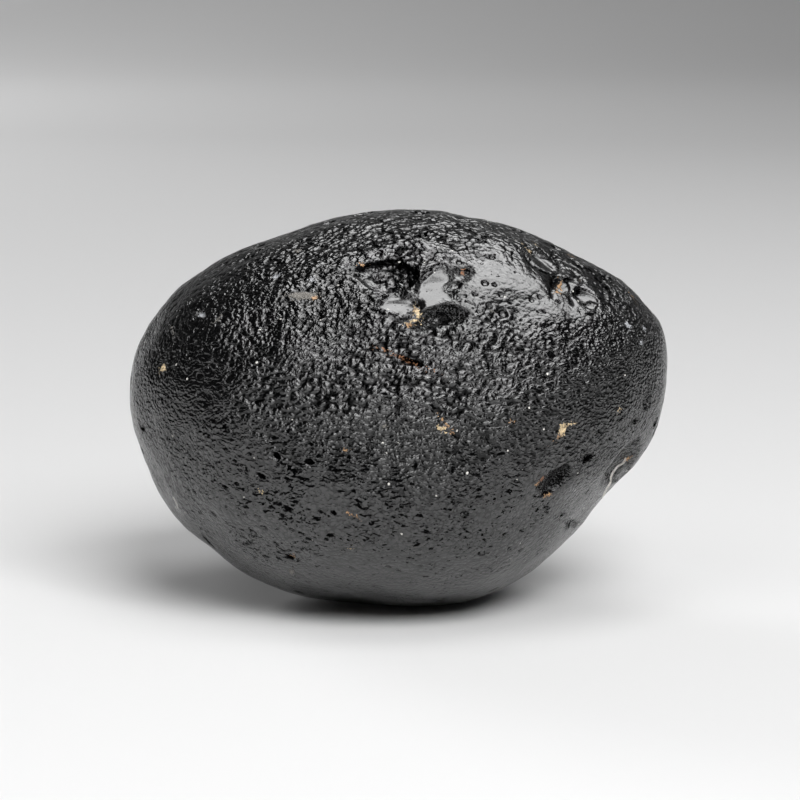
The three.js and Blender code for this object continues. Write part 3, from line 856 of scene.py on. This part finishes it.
def noiseOf(tree, place, scale, detail=2.0):
    return addNode(tree, "TexNoise", {"Vector": place, "Scale": scale, "Detail": detail}).outputs


def cellsOf(tree, place, pitch, crease=0):
    kind = "SMOOTH_F1" if crease else "F1"
    made = addNode(tree, "TexVoronoi", {"Vector": place, "Scale": 1 / pitch}, feature=kind)
    if crease:
        made.inputs["Smoothness"].default_value = crease
    return made.outputs


def times(tree, first, second):
    return calc(tree, "MULTIPLY", first, second)


def vectorCalc(tree, operation, first, second):
    return addNode(tree, "VectorMath", {0: first, 1: second}, operation=operation).outputs[0]


def mixColor(tree, share, first, second):
    made = addNode(tree, "Mix", {"Factor": share, "A": first, "B": second}, data_type="RGBA")
    return made.outputs["Result"]


def stored(tree, name, output="Fac"):
    return addNode(tree, "Attribute", attribute_name=name).outputs[output]


# Short ragged slits that lie level, sunk into the bump and painted black as shade. Crowd is how many
# there are, from none to one.
def slitLayer(tree, place, crowd, shape):
    flat = vectorCalc(tree, "MULTIPLY", place, (1.0, 1.0, shape["flatness"]))
    noise = noiseOf(tree, flat, 1 / shape["length"])["Fac"]
    above = calc(tree, "MULTIPLY_ADD", crowd, shape["few"] - shape["many"], noise)
    return step(tree, above, shape["few"], shape["few"] + glassLook["slitWall"])


# One layer of rounded pebbles: how far down the skin is between them, and how much painted shade goes
# there.
def pebbleLayer(tree, place, shape):
    away = cellsOf(tree, place, shape["pitch"], shape["crease"])["Distance"]
    drop = times(tree, times(tree, away, away), shape["height"])
    return drop, step(tree, away, *shape["dark"])


# The etched skin, as a height in millimetres at a place in millimetres.
def etchedReliefGroup():
    look = glassLook
    group, given, leave = newGroup(
        "etchedRelief",
        ("Place", "Etch", "Slotted", "Pitted", "Crumbly"),
        ("Height", "Slit", "Valley", "Dust"),
    )
    patches = noiseOf(group, given["Place"], look["patches"]["scale"], 1.0)["Fac"]
    etch = times(group, given["Etch"], step(group, patches, *look["patches"]["levels"]))
    warp = noiseOf(group, given["Place"], look["warp"]["scale"])["Color"]
    centred = vectorCalc(group, "SUBTRACT", warp, (0.5, 0.5, 0.5))
    shift = scaled(group, centred, look["warp"]["shift"])
    place = vectorCalc(group, "ADD", given["Place"], shift)
    level = vectorCalc(group, "MULTIPLY", place, (1.0, 1.0, look["flatness"]))
    pebble, pebbleDark = pebbleLayer(group, level, look["pebbles"])
    crumb, crumbDark = pebbleLayer(group, level, look["crumbs"])
    swells = cellsOf(group, place, look["swells"]["pitch"], look["swells"]["crease"])["Distance"]
    low = calc(group, "MULTIPLY_ADD", times(group, swells, swells), look["swells"]["height"], pebble)
    low = times(group, low, etch)
    low = calc(group, "MULTIPLY_ADD", crumb, given["Crumbly"], low)
    fine = noiseOf(group, place, look["grain"]["scale"])["Fac"]
    height = calc(group, "SUBTRACT", times(group, fine, look["grain"]["height"]), low)
    valley = times(group, pebbleDark, etch)
    valley = calc(group, "MAXIMUM", valley, times(group, crumbDark, given["Crumbly"]))

    # Pinholes, each in a cell of its own.
    pins = look["pinholes"]
    holes = cellsOf(group, place, pins["pitch"])
    smallest, largest = pins["size"]
    chance = addNode(group, "SeparateColor", {"Color": holes["Color"]}).outputs[0]
    size = times(group, calc(group, "POWER", chance, pins["smallness"]), largest)
    size = calc(group, "MULTIPLY_ADD", size, given["Pitted"], smallest)
    inside = step(group, calc(group, "DIVIDE", holes["Distance"], size), *pins["wall"], 1.0, 0.0)
    height = calc(group, "SUBTRACT", height, times(group, inside, pins["depth"]))

    crowd = noiseOf(group, place, look["slitPatches"]["scale"], 1.0)["Fac"]
    crowd = times(group, step(group, crowd, *look["slitPatches"]["levels"]), given["Slotted"])
    slit = slitLayer(group, place, crowd, look["slits"])
    slit = calc(group, "MAXIMUM", slit, slitLayer(group, place, crowd, look["specks"]))
    height = calc(group, "SUBTRACT", height, times(group, slit, look["slotDepth"]))

    # Pale specks, in some of the cells.
    dust = look["dust"]
    grains = cellsOf(group, place, dust["pitch"])
    chance = addNode(group, "SeparateColor", {"Color": grains["Color"]}).outputs[2]
    size = step(group, chance, 1 - dust["share"], 1.0, *dust["size"])
    past = calc(group, "SUBTRACT", grains["Distance"], size)
    grain = step(group, past, *dust["wall"], 1.0, 0.0)
    for label, value in {"Height": height, "Slit": slit, "Valley": valley, "Dust": grain}.items():
        group.links.new(value, leave.inputs[label])
    return group


# Where a stored distance is below zero, with a ragged edge. Ragged and Soft are in millimetres.
def raggedMaskGroup():
    group, given, leave = newGroup(
        "raggedMask", ("Distance", "Place", "Ragged", "Detail", "Soft"), ("Inside",),
    )
    noise = noiseOf(group, given["Place"], given["Detail"])["Fac"]
    swing = times(group, calc(group, "SUBTRACT", noise, 0.5), given["Ragged"])
    distance = calc(group, "ADD", given["Distance"], swing)
    inside = step(group, distance, times(group, given["Soft"], -1.0), given["Soft"], 1.0, 0.0)
    group.links.new(inside, leave.inputs["Inside"])
    return group


def etchedGlass():
    look = glassLook
    material = bpy.data.materials.new("etchedGlass")
    material.use_nodes = True
    tree = material.node_tree
    shader = tree.nodes["Principled BSDF"]
    coordinates = addNode(tree, "TexCoord")
    place = scaled(tree, coordinates.outputs["Object"], 1 / millimetre)
    raggedMask = raggedMaskGroup()

    def inside(name):
        given = dict(zip(("Ragged", "Detail", "Soft"), look["edges"][name]))
        given.update({"Distance": stored(tree, name), "Place": place})
        return addNode(tree, "Group", given, node_tree=raggedMask).outputs["Inside"]

    mirror = inside("toFacet")
    dent = step(tree, stored(tree, "toDent"), *look["rim"]["wall"], 1.0, 0.0)
    dark = inside("toPaintedShade")
    raw = inside("toRaw")
    residueAndGlints = inside("toResidueAndGlint")
    loose = look["looseGrains"]
    grains = noiseOf(tree, place, loose["scale"])["Fac"]
    few = step(tree, stored(tree, "toResidueAndGlint"), 0.0, loose["reach"], loose["many"], loose["few"])
    halo = step(tree, calc(tree, "SUBTRACT", grains, few), 0.0, loose["wall"])
    residueAndGlints = calc(tree, "MAXIMUM", residueAndGlints, halo)
    edge = times(tree, inside("toEdgeHighlight"), step(tree, grains, *look["chippedHighlight"]))

    unbroken = calc(tree, "SUBTRACT", 1.0, mirror)
    strengths = {}
    for label in ("Etch", "Slotted", "Pitted", "Crumbly"):
        strengths[label] = times(tree, stored(tree, label.lower()), unbroken)
    etched = etchedReliefGroup()
    relief = addNode(tree, "Group", {"Place": place, **strengths}, node_tree=etched).outputs
    height = calc(tree, "SUBTRACT", relief["Height"], times(tree, dent, look["rim"]["depth"]))
    grit = noiseOf(tree, place, look["grit"]["scale"])["Fac"]
    gritty = times(tree, grit, calc(tree, "MAXIMUM", residueAndGlints, raw))
    height = calc(tree, "MULTIPLY_ADD", gritty, look["grit"]["height"], height)
    bump = addNode(tree, "Bump", {"Height": height, "Strength": 1.0, "Distance": millimetre})
    tree.links.new(bump.outputs["Normal"], shader.inputs["Normal"])

    mottle = step(tree, grit, *look["grit"]["mottle"])
    stain = scaled(tree, stored(tree, "residueAndGlintTint", "Color"), mottle)
    # The pale specks are dust; along chipped edges the same pale colour is partly crushed glass and
    # partly a painted highlight.
    dust = calc(tree, "MAXIMUM", relief["Dust"], edge)
    dustAndEdgeHighlight = mixColor(tree, dust, look["color"], look["dust"]["color"])
    # The soil spots are their own colour; the glint spots paint a pale highlight into the base colour.
    tree.links.new(mixColor(tree, residueAndGlints, dustAndEdgeHighlight, stain), shader.inputs["Base Color"])
    rough = step(
        tree, strengths["Etch"], 0.0, look["fullEtch"], look["smoothRoughness"], look["roughness"],
    )
    pale = calc(tree, "MAXIMUM", residueAndGlints, dust)
    rough = calc(tree, "MULTIPLY_ADD", pale, look["grit"]["roughness"], rough)
    tree.links.new(rough, shader.inputs["Roughness"])
    # Painted shade: a slit, a seam, a dark hollow, a valley between pebbles and a gap in raw ground
    # are made black metal, so the glass there mirrors only its own black.
    gaps = step(tree, grit, *look["grit"]["gaps"])
    shade = calc(tree, "MAXIMUM", dark, relief["Slit"])
    shade = calc(tree, "MAXIMUM", shade, times(tree, relief["Valley"], look["valleyShade"]))
    shade = calc(tree, "MAXIMUM", shade, times(tree, raw, gaps))
    shade = times(tree, shade, calc(tree, "SUBTRACT", 1.0, pale))
    tree.links.new(shade, shader.inputs["Metallic"])
    shader.inputs["Specular IOR Level"].default_value = look["specular"]
    shader.inputs["IOR"].default_value = look["ior"]
    return material


tektite.data.materials.clear()
tektite.data.materials.append(etchedGlass())
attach(tektite, "root")
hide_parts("tektite")
print("glass finished")


studio = {
    "floorSize": 6,
    "wallAt": 2.7,  # how far behind the lump the floor turns up
    "wallHeight": 2,
    "bend": 1.6,
    "bendSegments": 24,
    "paperRoughness": 0.9,
    "paperSheen": 0.1,
    "floorColor": (0.8, 0.8, 0.8, 1),
    "world": (0.02, 0.02, 0.021, 1),
}

# Panels of light, placed and aimed from the lump unless they have an aim of their own. Bearing is
# degrees from the front towards the right, and size is across and up. These light the paper and cast
# the shadow.
paperPanels = {
    "key": {"height": 40, "bearing": 21, "away": 0.85, "size": (0.5, 0.42), "power": 8.0},
    "keyLeft": {"height": 48, "bearing": -40, "away": 0.85, "size": (0.4, 0.35), "power": 0.7},
    "paperTop": {"height": 80, "bearing": 40, "away": 1.0, "size": (0.6, 0.6), "power": 2.9},
    "leftRear": {"height": 18, "bearing": -140, "away": 1.1, "size": (0.4, 0.4), "power": 4.5},
    "backdrop": {
        "height": 28, "bearing": -150, "away": 1.24, "size": (0.4, 0.4), "power": 3.7,
        "aim": (-0.4, 1.9, 0.35),
    },
}
# And these are what the glass mirrors.
glassPanels = {
    "overhead": {"height": 70, "bearing": 138, "away": 1.0, "size": (0.95, 0.8), "power": 10.5},
    "front": {"height": 31, "bearing": 0, "away": 1.0, "size": (1.05, 0.8), "power": 4.7},
    "sparkle": {"height": 62, "bearing": 8, "away": 1.0, "size": (0.55, 0.5), "power": 3.8},
}


def layFloor():
    deselectAll()
    middle = studio["wallAt"] - studio["floorSize"] / 2
    bpy.ops.mesh.primitive_plane_add(size=studio["floorSize"], location=(0, middle, 0))
    floor = bpy.context.active_object
    floor.name = "paleFloor"
    bpy.ops.object.transform_apply()
    setMode("EDIT")
    bpy.ops.mesh.select_mode(type="EDGE")
    bpy.ops.mesh.select_all(action="DESELECT")
    setMode("OBJECT")
    corners = floor.data.vertices
    backEdge = max(floor.data.edges, key=lambda edge: sum(corners[v].co.y for v in edge.vertices))
    backEdge.select = True
    setMode("EDIT")
    bpy.ops.mesh.extrude_edges_move(TRANSFORM_OT_translate={"value": (0, 0, studio["wallHeight"])})
    bpy.ops.mesh.select_all(action="DESELECT")
    setMode("OBJECT")
    for edge in floor.data.edges:
        ends = [floor.data.vertices[v].co for v in edge.vertices]
        atWall = [end.z < millimetre and end.y > studio["wallAt"] - millimetre for end in ends]
        edge.select = all(atWall)
    setMode("EDIT")
    bpy.ops.mesh.bevel(offset=studio["bend"], segments=studio["bendSegments"])
    setMode("OBJECT")
    bpy.ops.object.shade_smooth()
    material = bpy.data.materials.new("palePaper")
    material.use_nodes = True
    shader = material.node_tree.nodes["Principled BSDF"]
    shader.inputs["Base Color"].default_value = studio["floorColor"]
    shader.inputs["Roughness"].default_value = studio["paperRoughness"]
    shader.inputs["Specular IOR Level"].default_value = studio["paperSheen"]
    floor.data.materials.append(material)


def hangPanel(name, panel, mirrored):
    height = math.radians(panel["height"])
    bearing = math.radians(panel["bearing"])
    level = math.cos(height)
    way = Vector((level * math.sin(bearing), -level * math.cos(bearing), math.sin(height)))
    place = outlineMiddle + way * panel["away"]
    turn = (place - Vector(panel.get("aim", outlineMiddle))).to_track_quat("Z", "Y").to_euler()
    bpy.ops.object.light_add(type="AREA", location=place, rotation=turn)
    light = bpy.context.active_object
    light.name = name + "Panel"
    light.data.shape = "RECTANGLE"
    light.data.size, light.data.size_y = panel["size"]
    light.data.energy = panel["power"]
    light.visible_glossy = mirrored
    light.visible_diffuse = not mirrored


def dimRoom():
    world = bpy.data.worlds.new("darkRoom")
    world.use_nodes = True
    world.node_tree.nodes["Background"].inputs["Color"].default_value = studio["world"]
    bpy.context.scene.world = world
    bpy.context.scene.view_settings.view_transform = "Standard"


layFloor()
for panelName, panel in paperPanels.items():
    hangPanel(panelName, panel, mirrored=False)
for panelName, panel in glassPanels.items():
    hangPanel(panelName, panel, mirrored=True)
dimRoom()
print("floor and light set")
